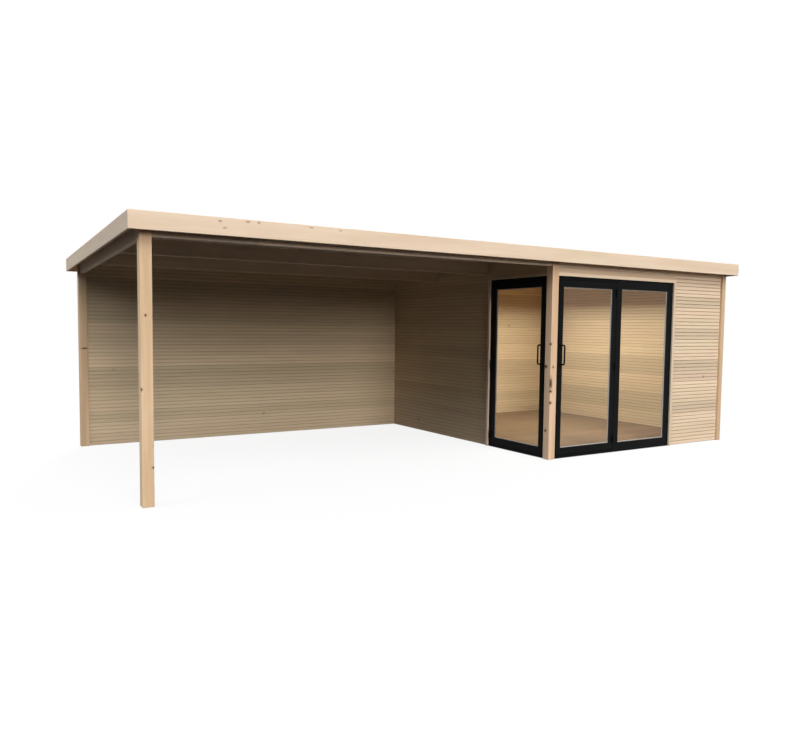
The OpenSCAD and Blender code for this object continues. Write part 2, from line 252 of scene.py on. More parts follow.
class GardenRoomSettings(bpy.types.PropertyGroup):
    """Everything that a user may change"""

    timber: bpy.props.PointerProperty(type=TimberSizes)
    roof: bpy.props.PointerProperty(type=RoofSizes)
    fittings: bpy.props.PointerProperty(type=FittingSizes)
    colours: bpy.props.PointerProperty(type=Colours)
    stage: bpy.props.PointerProperty(type=StageSettings)


def settings():
    """The scene's settings."""
    return bpy.context.scene.garden_room


# Shapes


def roof_under(y):
    """Height of the roof boards' underside at depth y: a plane that falls towards the back."""
    return ROOF_LOW.z + FALL * (ROOF_HIGH.y - y)


def trim(points):
    """Lowers the points that stand over the roof boards' underside to it."""
    points[..., 2] = np.minimum(points[..., 2], roof_under(points[..., 1]))


def copies(low, high, number):
    """Both corners of a box as arrays with a number of equal rows."""
    return np.tile(np.array(low), (number, 1)), np.tile(np.array(high), (number, 1))


def eased_section(low, high, ease, steps):
    """Rectangles with rounded corners, one per row of low and high: each corner is a quarter ellipse with
    the half axes of ease about a centre drawn in from the corner, sampled at equal angles."""
    turn = (np.linspace(0.0, QUARTER, steps + 1) + QUARTER * np.arange(4)[:, None]).ravel()
    far = np.repeat([(1, 1), (0, 1), (0, 0), (1, 0)], steps + 1, axis=0)
    centre = np.where(far, (high - ease)[:, None], (low + ease)[:, None])
    return centre + ease * np.stack([np.cos(turn), np.sin(turn)], axis=1)


def bars(lows, highs, axis, ease, steps=3):
    """Timbers from opposite corners: the eased section carried along one axis through four stations, with
    the two end stations drawn in by half the easing. The easing is one size, or one for each of x, y and z.
    Returns points as (timber, station, section, xyz)."""
    lows = np.atleast_2d(np.asarray(lows, float))
    highs = np.atleast_2d(np.asarray(highs, float))
    pair = [(axis + 1) % 3, (axis + 2) % 3]
    ease = np.broadcast_to(ease, 3)
    draw = ease[axis] / 2
    full = eased_section(lows[:, pair], highs[:, pair], ease[pair], steps)
    ends = eased_section(lows[:, pair] + draw, highs[:, pair] - draw, ease[pair] - draw, steps)
    stations = np.stack([lows[:, axis], lows[:, axis] + draw, highs[:, axis] - draw, highs[:, axis]], axis=1)
    points = np.empty((len(lows), 4, full.shape[1], 3))
    points[..., axis] = stations[:, :, None]
    points[:, 1:3, :, pair] = full[:, None]
    points[:, 0::3, :, pair] = ends[:, None]
    return points


def tube_faces(shape, ring=False):
    """Faces of profiles carried along paths, for points as (piece, station, profile): a quad between each
    pair of neighbours, closed round the profile. A ring's path is closed too, other paths have capped ends.
    Returns quads and caps."""
    index = np.arange(math.prod(shape)).reshape(shape)
    near = index if ring else index[:, :-1]
    far = np.roll(index, -1, axis=1) if ring else index[:, 1:]
    quads = np.stack([near, np.roll(near, -1, axis=2), np.roll(far, -1, axis=2), far], axis=-1).reshape(-1, 4)
    caps = np.concatenate([index[:, 0, ::-1], index[:, -1]])
    return quads, caps[:0] if ring else caps


def signed_volume(points, quads):
    """Volume inside a closed shell of quads, negative where its faces point inwards."""
    corner = points.reshape(-1, 3)[quads]
    fans = np.concatenate([corner[:, [0, 1, 2]], corner[:, [0, 2, 3]]])
    return np.einsum("ij,ij->i", fans[:, 0], np.cross(fans[:, 1], fans[:, 2])).sum() / 6


def joined(tubes, ring=False):
    """Points and faces of tubes in one mesh, each turned to face outwards."""
    faces = []
    first = 0
    for tube in tubes:
        quads, caps = tube_faces(tube.shape[:3], ring)
        order = -1 if signed_volume(tube, quads) < 0 else 1
        for part in (quads, caps):
            faces += (part[:, ::order] + first).tolist()
        first += tube[..., 0].size
    return np.concatenate([tube.reshape(-1, 3) for tube in tubes]), faces


def ring_section(low, high, axis, face, section):
    """A profile carried round a rectangle with mitred corners: each profile point (inward, out) stands at
    every corner, moved towards the middle by inward on both sides and along the axis by out."""
    pair = [(axis + 1) % 3, (axis + 2) % 3]
    signs = np.array([(1, 1), (-1, 1), (-1, -1), (1, -1)])
    corners = np.where(signs > 0, high[pair], low[pair])
    points = np.empty((1, 4, len(section), 3))
    points[:, :, :, pair] = corners[:, None] - signs[:, None] * section[:, :1]
    points[..., axis] = face + section[:, 1]
    return points


def placed(name, data):
    """A new object in the scene."""
    made = bpy.data.objects.new(name, data)
    bpy.context.scene.collection.objects.link(made)
    return made


def make_piece(name, points, material, slot, nodes=(), body=SHED, faces=None, smooth=False, **traits):
    """Puts points into a mesh at the origin, as capped tubes where no faces are given, and hands the piece to
    the frame. Each trait is kept as a value at the points: board varies a timber's tone and grain, groove
    paints shade into wall grooves and felt seams, and inside marks faces in lounge or room for a painted
    shade cast."""
    if faces is None:
        quads, caps = tube_faces(points.shape[:3])
        faces = quads.tolist() + caps.tolist()
    mesh = bpy.data.meshes.new(name)
    mesh.from_pydata(points.reshape(-1, 3).tolist(), [], faces)
    for trait, value in traits.items():
        spread = np.broadcast_to(value, points.shape[:-1]).astype(np.float32)
        mesh.attributes.new(trait, "FLOAT", "POINT").data.foreach_set("value", spread.ravel())
    if smooth:
        mesh.shade_smooth()
        mesh.set_sharp_from_angle(angle=SHARP_EDGE)
    if mesh.validate():
        raise RuntimeError(f"{name} has faces that are not sound")
    mesh.materials.append(material)
    piece = placed(name, mesh)
    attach(piece, body)
    if nodes:
        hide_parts(*nodes)


def tones(seed, number):
    """Even random values for a number of boards, the same on each run."""
    return np.random.default_rng(seed).uniform(0.0, 1.0, number)


def each_bar(values):
    """One value a bar, shaped to spread over the bars' points."""
    return np.reshape(values, (-1, 1, 1))


def timber(node, axis, material, slot, board, under_roof=False, inside=0.0):
    """One eased timber in place of a node, its top trimmed to the roof boards where it stands under them."""
    points = bars(*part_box(node), axis, settings().timber.ease)
    if under_roof:
        trim(points)
    make_piece(node + "_timber", points, material, slot, [node], board=board, inside=inside)


def levelled(node):
    """Corners of a falling node as it would lie at the roof's front edge, without the fall."""
    low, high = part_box(node)
    top = high.z + FALL * (low.y - ROOF_LOW.y)
    height = high.z - low.z - FALL * (high.y - low.y)
    return (low.x, low.y, top - height), (high.x, high.y, top)


def falling_bars(name, node, lows, highs, axis, ease, material, slot, boards, steps=3):
    """Timbers laid to the roof's fall: level bars, each point then lowered by the fall over its depth."""
    points = bars(lows, highs, axis, ease, steps)
    points[..., 2] -= FALL * (points[..., 1] - ROOF_LOW.y)
    make_piece(name, points, material, slot, [node], board=each_bar(boards))


def falling_timber(node, material, slot, board):
    """One eased timber that runs from front to back with the roof's fall, in place of a node."""
    falling_bars(node + "_timber", node, *levelled(node), 1, settings().timber.ease, material, slot, board)


# Finishes


def feed(tree, node, inputs):
    """Sets or links a node's inputs."""
    for key, value in inputs.items():
        if isinstance(value, bpy.types.NodeSocket):
            tree.links.new(value, node.inputs[key])
        else:
            node.inputs[key].default_value = value


def add(tree, kind, inputs=None, **values):
    """Adds a node with its values and inputs. Returns its outputs."""
    made = tree.nodes.new(kind)
    for key, value in values.items():
        setattr(made, key, value)
    feed(tree, made, inputs or {})
    return made.outputs


def value_of(tree, operation, first, second=0.0):
    """Result of a Math node."""
    return add(tree, "ShaderNodeMath", {0: first, 1: second}, operation=operation)[0]


def times(tree, first, second):
    """Product of two values."""
    return value_of(tree, "MULTIPLY", first, second)


def vector_of(tree, operation, first, second):
    """Result of a Vector Math node. A single value counts for each of x, y and z."""
    return add(tree, "ShaderNodeVectorMath", {0: first, 1: second}, operation=operation)[0]


def length_of(tree, vector):
    """Length of a vector."""
    return add(tree, "ShaderNodeVectorMath", {0: vector}, operation="LENGTH")["Value"]


def mapped(tree, value, low, high, to_low=0.0, to_high=1.0):
    """A value moved smoothly from one range to another."""
    inputs = {0: value, 1: low, 2: high, 3: to_low, 4: to_high}
    return add(tree, "ShaderNodeMapRange", inputs, interpolation_type="SMOOTHSTEP")[0]


def blended(tree, factor, first, second, mode="MIX"):
    """Two colours mixed by a factor."""
    return add(tree, "ShaderNodeMix", {0: factor, 6: first, 7: second}, data_type="RGBA", blend_type=mode)[2]


def noise(tree, vector, stretch, detail=2.0, roughness=0.5):
    """Value of a Noise texture on a vector that is stretched first."""
    scaled = vector_of(tree, "MULTIPLY", vector, stretch)
    inputs = {"Vector": scaled, "Scale": 1.0, "Detail": detail, "Roughness": roughness}
    return add(tree, "ShaderNodeTexNoise", inputs)["Fac"]


def trait_of(tree, name):
    """A value kept at the points, or 0 where a piece has none."""
    return add(tree, "ShaderNodeAttribute", attribute_name=name)["Fac"]


def opaque(colour):
    """A colour with full alpha."""
    return (*colour, 1.0)


def colours_of(family):
    """The two colours of a finish."""
    return (opaque(getattr(settings().colours, f"{family}_{which}")) for which in ("main", "second"))


def effect(tree, fill, vectors, **values):
    """Places a shared effect, a shader node group, and returns its outputs. The group bears the name of the
    function that fills it once: that takes the group's tree and inputs and returns its outputs by name."""
    name = fill.__name__.replace("_", " ").title()
    group = bpy.data.node_groups.get(name)
    if group is None:
        group = bpy.data.node_groups.new(name, "ShaderNodeTree")
        for kind, labels in (("NodeSocketVector", vectors), ("NodeSocketFloat", values)):
            for label in labels:
                group.interface.new_socket(label, in_out="INPUT", socket_type=kind)
        results = fill(group, add(group, "NodeGroupInput"))
        for label in results:
            group.interface.new_socket(label, in_out="OUTPUT", socket_type="NodeSocketFloat")
        add(group, "NodeGroupOutput", results)
    return add(tree, "ShaderNodeGroup", {**vectors, **values}, node_tree=group)


def spruce_grain(tree, source):
    """Spruce grain along X: broad soft bands, growth lines about an axis beside the board, fine fibres and
    large patches."""
    shift = vector_of(tree, "MULTIPLY", source["Board"], BOARD_SHIFT)
    place = vector_of(tree, "ADD", source["Vector"], shift)
    radius = length_of(tree, vector_of(tree, "MULTIPLY", place, (0.0, 1.0, 1.0)))
    bend = times(tree, noise(tree, place, (0.9, 5.0, 5.0), detail=1.0), LINE_BEND)
    lines = value_of(tree, "SINE", value_of(tree, "ADD", times(tree, radius, LINE_TURNS), bend))
    return {
        "Bands": mapped(tree, noise(tree, place, (0.7, 11.0, 11.0), 3.0, 0.55), 0.32, 0.68),
        "Lines": mapped(tree, lines, 0.1, 1.0),
        "Fibres": mapped(tree, noise(tree, place, (6.0, 420.0, 420.0), 2.0, 0.6), 0.3, 0.7),
        "Patch": mapped(tree, noise(tree, place, (0.5, 1.5, 1.5)), 0.3, 0.7),
    }


def chance_knots(tree, source):
    """Knots at random along X: a few cells of a stretched Voronoi pattern hold one, measured in metres."""
    scaled = vector_of(tree, "DIVIDE", source["Vector"], KNOT_CELL)
    cells = add(tree, "ShaderNodeTexVoronoi", {"Vector": scaled, "Scale": 1.0})
    middle = vector_of(tree, "MULTIPLY", cells["Position"], KNOT_CELL)
    away = length_of(tree, vector_of(tree, "SUBTRACT", source["Vector"], middle))
    luck = add(tree, "ShaderNodeSeparateColor", {0: cells["Color"]})
    present = value_of(tree, "LESS_THAN", luck["Red"], source["Share"])
    size = times(tree, source["Size"], mapped(tree, luck["Green"], 0.0, 1.0, 0.45, 1.2))
    edge = value_of(tree, "DIVIDE", away, size)
    return {
        "Heart": times(tree, mapped(tree, edge, 0.6, 1.0, 1.0, 0.0), present),
        "Ring": times(tree, mapped(tree, edge, 0.9, 2.4, 1.0, 0.0), present),
    }


def placed_knot(tree, source):
    """One knot at a known place: an egg-shaped heart and the ring of bent wood round it."""
    wobble = mapped(tree, noise(tree, source["Vector"], (90.0, 90.0, 90.0), 1.0), 0.2, 0.8, 0.9, 1.1)
    offset = vector_of(tree, "SUBTRACT", source["Vector"], source["Middle"])
    edge = times(tree, length_of(tree, vector_of(tree, "DIVIDE", offset, source["Reach"])), wobble)
    return {
        "Heart": mapped(tree, edge, 0.65, 1.1, 1.0, 0.0),
        "Ring": mapped(tree, edge, 0.9, 2.3, 1.0, 0.0),
    }


def speckle(tree, source):
    """Patches and fine grains of coats and felt."""
    return {
        "Patches": mapped(tree, noise(tree, source["Vector"], (1.7, 1.7, 1.7), 4.0, 0.6), 0.35, 0.68),
        "Grains": mapped(tree, noise(tree, source["Vector"], source["Grain"], 2.0, 0.6), 0.35, 0.65),
    }


def new_material(name):
    """A Principled material. Returns it with its tree, its shader and the object coordinates."""
    material = bpy.data.materials.new(name)
    material.use_nodes = True
    tree = material.node_tree
    return material, tree, tree.nodes["Principled BSDF"], add(tree, "ShaderNodeTexCoord")["Object"]


def wood(name, family, axis, knots=None, share=0.04, spread=0.10, bands=0.8, dark=0.45):
    """Planed timber with its grain along one axis: bands and lines between the family's two colours, a tone
    and a cast of its own for each board, painted shade in the grooves and on faces in lounge or room, chance
    knots, and the knots given for it."""
    if name in bpy.data.materials:
        return bpy.data.materials[name]
    colours = settings().colours
    pale, deep = colours_of(family)
    material, tree, shader, place = new_material(name)
    part = add(tree, "ShaderNodeSeparateXYZ", {0: place})
    turned = add(tree, "ShaderNodeCombineXYZ", {i: part[(axis + i) % 3] for i in range(3)})[0]
    board = trait_of(tree, "board")
    grain = effect(tree, spruce_grain, {"Vector": turned}, Board=board)
    banded = blended(tree, times(tree, grain["Bands"], bands), pale, deep)
    lined = blended(tree, times(tree, grain["Lines"], LINE_SHARE), banded, deep)
    toned = blended(tree, times(tree, grain["Fibres"], FIBRE_SHARE), lined, deep, "MULTIPLY")
    tone = mapped(tree, board, 0.0, 1.0, 1.0 - spread, 1.0 + spread)
    # Painted shade: the colour darkens towards the joint of each wall groove
    groove = mapped(tree, trait_of(tree, "groove"), 0.0, 1.0, 1.0, GROOVE_LIGHT)
    chance = value_of(tree, "FRACT", times(tree, board, CAST_STEP))
    leaning = times(tree, value_of(tree, "ADD", chance, grain["Patch"]), 0.5)
    cast = blended(tree, leaning, opaque(colours.rosy), opaque(colours.straw))
    # Painted shade: boards facing lounge or room take the darker inside cast
    inside_shade_paint = blended(tree, trait_of(tree, "inside"), WHITE, opaque(colours.sheltered))
    for factor in (tone, groove, cast, inside_shade_paint):
        toned = vector_of(tree, "MULTIPLY", toned, factor)
    knot = effect(tree, chance_knots, {"Vector": turned}, Size=KNOT_SIZE, Share=share)
    heart, ring = knot["Heart"], knot["Ring"]
    for node, rows in (knots or {}).items():
        for row in rows:
            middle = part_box(node)[0] + Vector(row[:3])
            knot = effect(tree, placed_knot, {"Vector": place, "Middle": middle, "Reach": row[3:]})
            heart = value_of(tree, "MAXIMUM", heart, knot["Heart"])
            ring = value_of(tree, "MAXIMUM", ring, knot["Ring"])
    ringed = blended(tree, times(tree, ring, RING_SHARE), toned, opaque(colours.knot_ring))
    height = value_of(tree, "ADD", times(tree, grain["Lines"], 0.5), grain["Fibres"])
    relief = {"Strength": WOOD_RELIEF, "Distance": WOOD_DEPTH, "Height": height}
    feed(tree, shader, {
        "Base Color": blended(tree, times(tree, heart, dark), ringed, opaque(colours.knot)),
        "Roughness": mapped(tree, grain["Fibres"], 0.0, 1.0, *WOOD_ROUGHNESS),
        "Specular IOR Level": WOOD_GLOSS,
        "Normal": add(tree, "ShaderNodeBump", relief)[0],
    })
    return material


def speckled(name, family, grain, roughness, depth, gloss=0.3, patchy=0.2):
    """A coat, rubber or felt: a base colour with lighter grains and patches and a finely uneven surface, and
    painted shade where a piece marks grooves, as the felt's seams.
    """
    if name in bpy.data.materials:
        return bpy.data.materials[name]
    base, light = colours_of(family)
    material, tree, shader, place = new_material(name)
    marks = effect(tree, speckle, {"Vector": place}, Grain=grain)
    grains = times(tree, marks["Grains"], GRAIN_SHARE)
    mask = value_of(tree, "ADD", times(tree, marks["Patches"], patchy), grains)
    # Painted shade at the felt's seams
    seam = mapped(tree, trait_of(tree, "groove"), 0.6, 1.0, 1.0, SEAM_LIGHT)
    relief = {"Strength": GRAIN_RELIEF, "Distance": depth, "Height": marks["Grains"]}
    feed(tree, shader, {
        "Base Color": vector_of(tree, "MULTIPLY", blended(tree, mask, base, light), seam),
        "Roughness": mapped(tree, marks["Grains"], 0.0, 1.0, roughness, roughness + GRAIN_ROUGHNESS),
        "Specular IOR Level": gloss,
        "Normal": add(tree, "ShaderNodeBump", relief)[0],
    })
    return material


def black_coat(name):
    """Satin black powder coat of frames, sashes and hardware."""
    return speckled(name, "coat", grain=700.0, roughness=0.36, depth=0.00006, gloss=0.05)


def window_glass():
    """Clear glass: a pale veil, painted reflection beside its real gloss, that lets nearly all light straight
    through when it is seen square on and shows more at a glance, with faint smears in its gloss."""
    material, tree, shader, place = new_material("pane_glass")
    smear = noise(tree, place, (3.0, 3.0, 1.2), 3.0, 0.6)
    facing = add(tree, "ShaderNodeLayerWeight", {"Blend": 0.5})["Facing"]
    feed(tree, shader, {
        "Base Color": opaque(settings().colours.glass),
        "Metallic": 0.0,
        "Roughness": mapped(tree, smear, 0.35, 0.75, *SMEAR_ROUGHNESS),
        # Painted reflection: the pale veil grows at a glance
        "Alpha": mapped(tree, facing, 0.5, 1.0, *VEIL),
    })
    return material


def refinish(nodes, material):
    """Gives CAD nodes a better material."""
    for node in nodes:
        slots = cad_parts[node].data.materials
        slots.clear()
        slots.append(material)


# Operators


class PieceOperator:
    """What the operators share"""

    def execute(self, context):
        """Makes the pieces. An error stops the script."""
        self.make(context.scene.garden_room)
        return {"FINISHED"}


class GARDENROOM_OT_posts(PieceOperator, bpy.types.Operator):
    """Five posts with eased edges and the knots that stand out"""

    bl_idname = "gardenroom.posts"
    bl_label = "Posts"

    def make(self, room):
        """An eased timber in place of each post."""
        finish = wood("post_posts_z", "post", 2, POST_KNOTS, share=0.03, dark=0.95)
        posts = (("front_left_post", 0.956), ("back_left_post", 0.129), ("door_corner_post", 0.96),
                 ("front_right_post", 0.26), ("back_right_post", 0.831))
        for post, board in posts:
            timber(post, 2, finish, "spruce_posts", board, under_roof=True)


class GARDENROOM_OT_walls(PieceOperator, bpy.types.Operator):
    """Walls of stacked ribbed boards and the plain headers over the doors"""

    bl_idname = "gardenroom.walls"
    bl_label = "Ribbed walls"

    def make(self, room):
        """Rounded ribs in place of each wall."""
        along_x = wood("wall_boards_x", "wall", 0, share=0.03, spread=0.11, bands=0.5)
        along_y = wood("wall_boards_y", "wall", 1, share=0.03, spread=0.11, bands=0.5)
        # Painted shade: the partition and the side header are darker than the other walls by this finish's
        # tone range and their low board values
        shaded = wood("wall_shaded_y", "wall", 1, share=0.03, spread=0.2, bands=0.5)
        # Columns: wall, axis of its boards, which of its sides face lounge or room, finish, and the share of
        # the board tones kept; the partition's 0.4 darkens it as painted shade
        for seed, (wall, axis, sides, finish, tone) in enumerate((
            ("back_wall", 0, (1.0, 0.0), along_x, 1.0),
            ("front_wall", 0, (0.0, 1.0), along_x, 1.0),
            ("partition_wall", 1, (1.0, 1.0), shaded, 0.4),
            ("right_wall", 1, (1.0, 0.0), along_y, 1.0),
        ), WALL_SEED):
            self.stack(wall, axis, sides, finish, tone, seed, room.timber)
        # Painted shade: the front header's low board value darkens it
        timber("front_header", 0, wood("wall_header_x", "wall", 0), "spruce_walls", 0.02)
        # Painted shade: the side header's low board value darkens it
        timber("side_header", 1, shaded, "spruce_walls", 0.05, under_roof=True, inside=1.0)

    def stack(self, wall, axis, sides, finish, tone, seed, sizes):
        """Ribs of equal height, one timber each, up to the wall's top; ribs of one board share a tone. Under
        the falling roof a rib ends where the roof reaches its lower edge. A groove's value, painted as shade,
        rises from 0 on a rib's face to 1 at the joint. The sides, low and high, are 1 where they face lounge
        or room, and there a groove's depth and value are taken times the inner share, and the wood paints a
        shade cast on them."""
        low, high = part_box(wall)
        least = 2.5 * sizes.rib_ease
        number = math.ceil((high.z - low.z - least) / sizes.rib_pitch)
        lows, highs = copies(low, high, number)
        lows[:, 2] += sizes.rib_pitch * np.arange(number)
        highs[:-1, 2] = lows[1:, 2]
        if axis == 1:
            reach = ROOF_HIGH.y - (lows[:, 2] + least - ROOF_LOW.z) / FALL
            highs[:, 1] = np.minimum(highs[:, 1], reach)
        across = 1 - axis
        ease = np.full(3, sizes.rib_ease)
        ease[axis], ease[across] = sizes.ease, sizes.rib_depth
        points = bars(lows, highs, axis, ease)
        from_middle = np.abs(points[..., 2] - each_bar(lows[:, 2] + highs[:, 2]) / 2)
        grooves = np.clip((from_middle - sizes.rib_pitch / 2) / sizes.rib_ease + 1.0, 0.0, 1.0)
        near = points[..., across] < (low[across] + high[across]) / 2
        face = np.where(near, low[across], high[across])
        inside = np.where(near, *sides)
        share = np.where(inside, sizes.inner_share, 1.0)
        points[..., across] = face + (points[..., across] - face) * share
        trim(points)
        board = np.arange(number) // sizes.ribs_per_board
        values = tones(seed, board[-1] + 1)[board] * tone
        make_piece(wall + "_ribs", points, finish, "spruce_walls", [wall],
                   board=each_bar(values), groove=grooves * share, inside=inside)


class GARDENROOM_OT_beams(PieceOperator, bpy.types.Operator):
    """Front beam in two lengths over the lounge and one over the room, left end beam and joists"""

    bl_idname = "gardenroom.beams"
    bl_label = "Beams and joists"

    def make(self, room):
        """The front beam in three level lengths between the posts, butted with a fine gap over the lounge.
        The left beam and the first and last joist of each row follow the roof's fall."""
        sizes = room.timber
        low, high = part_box("front_beam")
        corner_low, corner_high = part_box("door_corner_post")
        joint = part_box("front_left_post")[0].x + sizes.beam_joint
        lows, highs = copies(low, high, 3)
        lows[1:, 0] = joint + sizes.board_gap, corner_high.x
        highs[:2, 0] = joint, corner_low.x
        points = bars(lows, highs, 0, sizes.ease)
        trim(points)
        make_piece("front_beam_timber", points, wood("fascia_beam_x", "fascia", 0, spread=0.2), "spruce_roof",
                   ["front_beam"], board=each_bar((0.3, 1.0, 0.6)))
        falling_timber("left_beam", wood("fascia_beam_y", "fascia", 1), "spruce_roof", 0.5)
        thick = high.y - low.y
        finish = wood("wall_joists_x", "wall", 0, share=0.0)
        for seed, node in enumerate(("lounge_joists", "room_joists"), JOIST_SEED):
            lows, highs = copies(*levelled(node), 2)
            lows[1, 1] = highs[1, 1] - thick
            highs[0, 1] = lows[0, 1] + thick
            falling_bars(node + "_timber", node, lows, highs, 0, sizes.ease, finish, "spruce_roof",
                         tones(seed, 2))


class GARDENROOM_OT_roof_boards(PieceOperator, bpy.types.Operator):
    """Roof boards that lie across the joists"""

    bl_idname = "gardenroom.roof_boards"
    bl_label = "Roof boards"

    def make(self, room):
        """A row of chamfered boards from the left edge to the right, laid to the fall."""
        sizes = room.timber
        low, high = levelled("roof_boards")
        number = round((high[0] - low[0]) / sizes.roof_board)
        edges = np.linspace(low[0], high[0], number + 1)
        lows, highs = copies(low, high, number)
        lows[:, 0] = edges[:-1]
        highs[:, 0] = edges[1:] - sizes.board_gap
        falling_bars("roof_boards_row", "roof_boards", lows, highs, 1, sizes.board_ease,
                     wood("roof_boards_y", "roof", 1), "spruce_roof", tones(ROOF_SEED, number), steps=1)


class GARDENROOM_OT_roof_covering(PieceOperator, bpy.types.Operator):
    """Roofing felt in lapped sheets"""

    bl_idname = "gardenroom.roof_covering"
    bl_label = "Roofing felt"

    def make(self, room):
        """A thin slab whose top rises by one lap at the seam between sheets: the height is the root of a ramp
        over the lap's width that ends at the seam. The profile is carried from the back edge to the front,
        and the first and last point of each sheet are marked as its seams, where the felt gets painted shade."""
        sizes = room.roof
        low, high = levelled("roof_covering")
        number = math.ceil((high[0] - low[0]) / sizes.sheet_w)
        sheet = (high[0] - low[0]) / number
        share = np.tile(np.linspace(0.0, 1.0 - 1e-3, sizes.steps), number)
        x = low[0] + sheet * (share + np.repeat(np.arange(number), sizes.steps))
        ramp = np.clip(1.0 - (1.0 - share) * sheet / sizes.lap_w, 0.0, 1.0)
        top = high[2] + sizes.lap_t * np.sqrt(ramp)
        depth = np.array([[high[1]], [low[1]]])
        points = np.empty((1, 2, len(x) + 2, 3))
        points[..., 0] = np.append(x, (high[0], low[0]))
        points[..., 1] = depth
        points[..., 2] = np.append(top, (low[2], low[2])) - FALL * (depth - ROOF_LOW.y)
        # Seams of the felt, where painted shade goes
        seam = np.append((share == share[0]) | (share == share[-1]), (False, False))
        felt = speckled("roofing_felt", "felt", grain=260.0, roughness=0.80, depth=0.0006, patchy=0.45)
        make_piece("roof_covering_felt", points, felt, "roof_covering", ["roof_covering"], groove=seam)


class GARDENROOM_OT_fascias(PieceOperator, bpy.types.Operator):
    """Fascia boards round the roof"""

    bl_idname = "gardenroom.fascias"
    bl_label = "Fascia boards"

    def make(self, room):
        """Two level boards along the length and two that fall with the roof."""
        long_finish = wood("fascia_long_x", "fascia", 0, FASCIA_KNOTS, share=0.05, spread=0.06, dark=0.22)
        timber("front_fascia", 0, long_finish, "spruce_fascia", 0.787)
        timber("back_fascia", 0, long_finish, "spruce_fascia", 0.942)
        end_finish = wood("fascia_end_y", "fascia", 1, share=0.05, spread=0.15)
        falling_timber("left_fascia", end_finish, "spruce_fascia", 0.1)
        falling_timber("right_fascia", end_finish, "spruce_fascia", 0.3)


class GARDENROOM_OT_floor(PieceOperator, bpy.types.Operator):
    """Floor boards of the room and the bearers under them"""

    bl_idname = "gardenroom.floor"
    bl_label = "Room floor"

    def make(self, room):
        """Boards along the room, and a narrow last one that stops at the back corner post."""
        sizes = room.timber
        low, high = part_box("floor_boards")
        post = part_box("back_right_post")[0]
        whole = round((post.y - low.y) / sizes.floor_board)
        edges = np.append(np.linspace(low.y, post.y, whole + 1), high.y)
        lows, highs = copies(low, high, whole + 1)
        lows[:, 1] = edges[:-1]
        highs[:, 1] = edges[1:] - sizes.board_gap
        highs[-1, 0] = post.x
        points = bars(lows, highs, 0, sizes.board_ease, steps=1)
        oiled = wood("oiled_floor", "floor", 0, share=0.03, spread=0.08, bands=0.5, dark=1.0)
        make_piece("floor_boards_row", points, oiled, "floor_wood", ["floor_boards"],
                   board=each_bar(tones(FLOOR_SEED, whole + 1)))
        refinish(["floor_bearers"], wood("sawn_bearer", "sawn", 0, share=0.12, spread=0.12, dark=1.0))


class GARDENROOM_OT_linings(PieceOperator, bpy.types.Operator):
    """Timber linings round the door frames"""

    bl_idname = "gardenroom.linings"
    bl_label = "Door linings"

    def make(self, room):
        """An eased timber for each head and jamb."""
        # Painted shade: the side lining head takes the wall colours, a low board value and the inside cast,
        # so it is darker than the other linings
        for node, axis, family, board, inside in (
            ("front_lining_head", 0, "fascia", 0.8, 0.0),
            ("front_lining_jamb", 2, "fascia", 0.4, 0.0),
            ("side_lining_head", 1, "wall", 0.05, 1.0),
            ("side_lining_jamb", 2, "fascia", 0.5, 0.0),
        ):
            finish = wood(f"{family}_lining_{'xyz'[axis]}", family, axis, share=0.02, spread=0.2)
            timber(node, axis, finish, "spruce_lining", board, inside=inside)


class GARDENROOM_OT_joinery(PieceOperator, bpy.types.Operator):
    """Black door frames, sashes and hinges"""

    bl_idname = "gardenroom.joinery"
    bl_label = "Black joinery"

    def make(self, room):
        """Powder coat on the frames, the sashes and the hinges."""
        doors = ("front", "side")
        for coat, owners, parts in (
            ("black_frame_coat", doors, ("frame_rails", "frame_jambs")),
            ("black_sash_coat", ("fixed_sash", "front_leaf", "side_leaf"), ("stiles", "rails")),
            ("black_hardware_coat", doors, ("hinge_pins", "leaf_knuckles")),
        ):
            refinish([f"{owner}_{part}" for owner in owners for part in parts], black_coat(coat))


class GARDENROOM_OT_glazing(PieceOperator, bpy.types.Operator):
    """Glass, rubber seals and the bars between the panes"""

    bl_idname = "gardenroom.glazing"
    bl_label = "Glass and seals"

    def make(self, room):
        """Three panes, each with a seal on both faces and a spacer bar inside its edge."""
        panes = (("fixed_sash", 1, SHED), ("front_leaf", 1, FRONT_LEAF), ("side_leaf", 0, SIDE_LEAF))
        refinish([sash + "_glass" for sash, axis, body in panes], window_glass())
        for sash, axis, body in panes:
            self.seals(sash, axis, body, room.fittings)

    def seals(self, sash, axis, body, sizes):
        """Rounded seals in the corner of sash and glass, and a flat bar between the panes, each carried round
        the daylight opening. The opening is the glass less its bite, which the rails' length gives."""
        low, high = (np.array(corner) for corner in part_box(sash + "_glass"))
        across = 1 - axis
        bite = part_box(sash + "_rails")[0][across] - low[across]
        low[[across, 2]] += bite
        high[[across, 2]] -= bite
        turn = np.linspace(0.0, QUARTER, BEAD_POINTS)
        bead = sizes.gasket * np.vstack([(0.0, 0.0), np.stack([np.cos(turn), np.sin(turn)], axis=1)])
        half, wide = sizes.spacer_t / 2, sizes.spacer_w
        bar = np.array([(0.0, -half), (wide, -half), (wide, half), (0.0, half)])
        rubber = speckled("rubber_seal", "rubber", grain=500.0, roughness=0.6, depth=0.0001)
        metal = speckled("spacer_metal", "spacer", grain=400.0, roughness=0.45, depth=0.00005)
        middle = (low[axis] + high[axis]) / 2
        for end, material, profiles in (
            ("_seals", rubber, ((low[axis], bead * (1.0, -1.0)), (high[axis], bead))),
            ("_spacer", metal, ((middle, bar),)),
        ):
            rings = [ring_section(low, high, axis, face, profile) for face, profile in profiles]
            points, faces = joined(rings, ring=True)
            make_piece(sash + end, points, material, "black_sash", body=body, faces=faces)


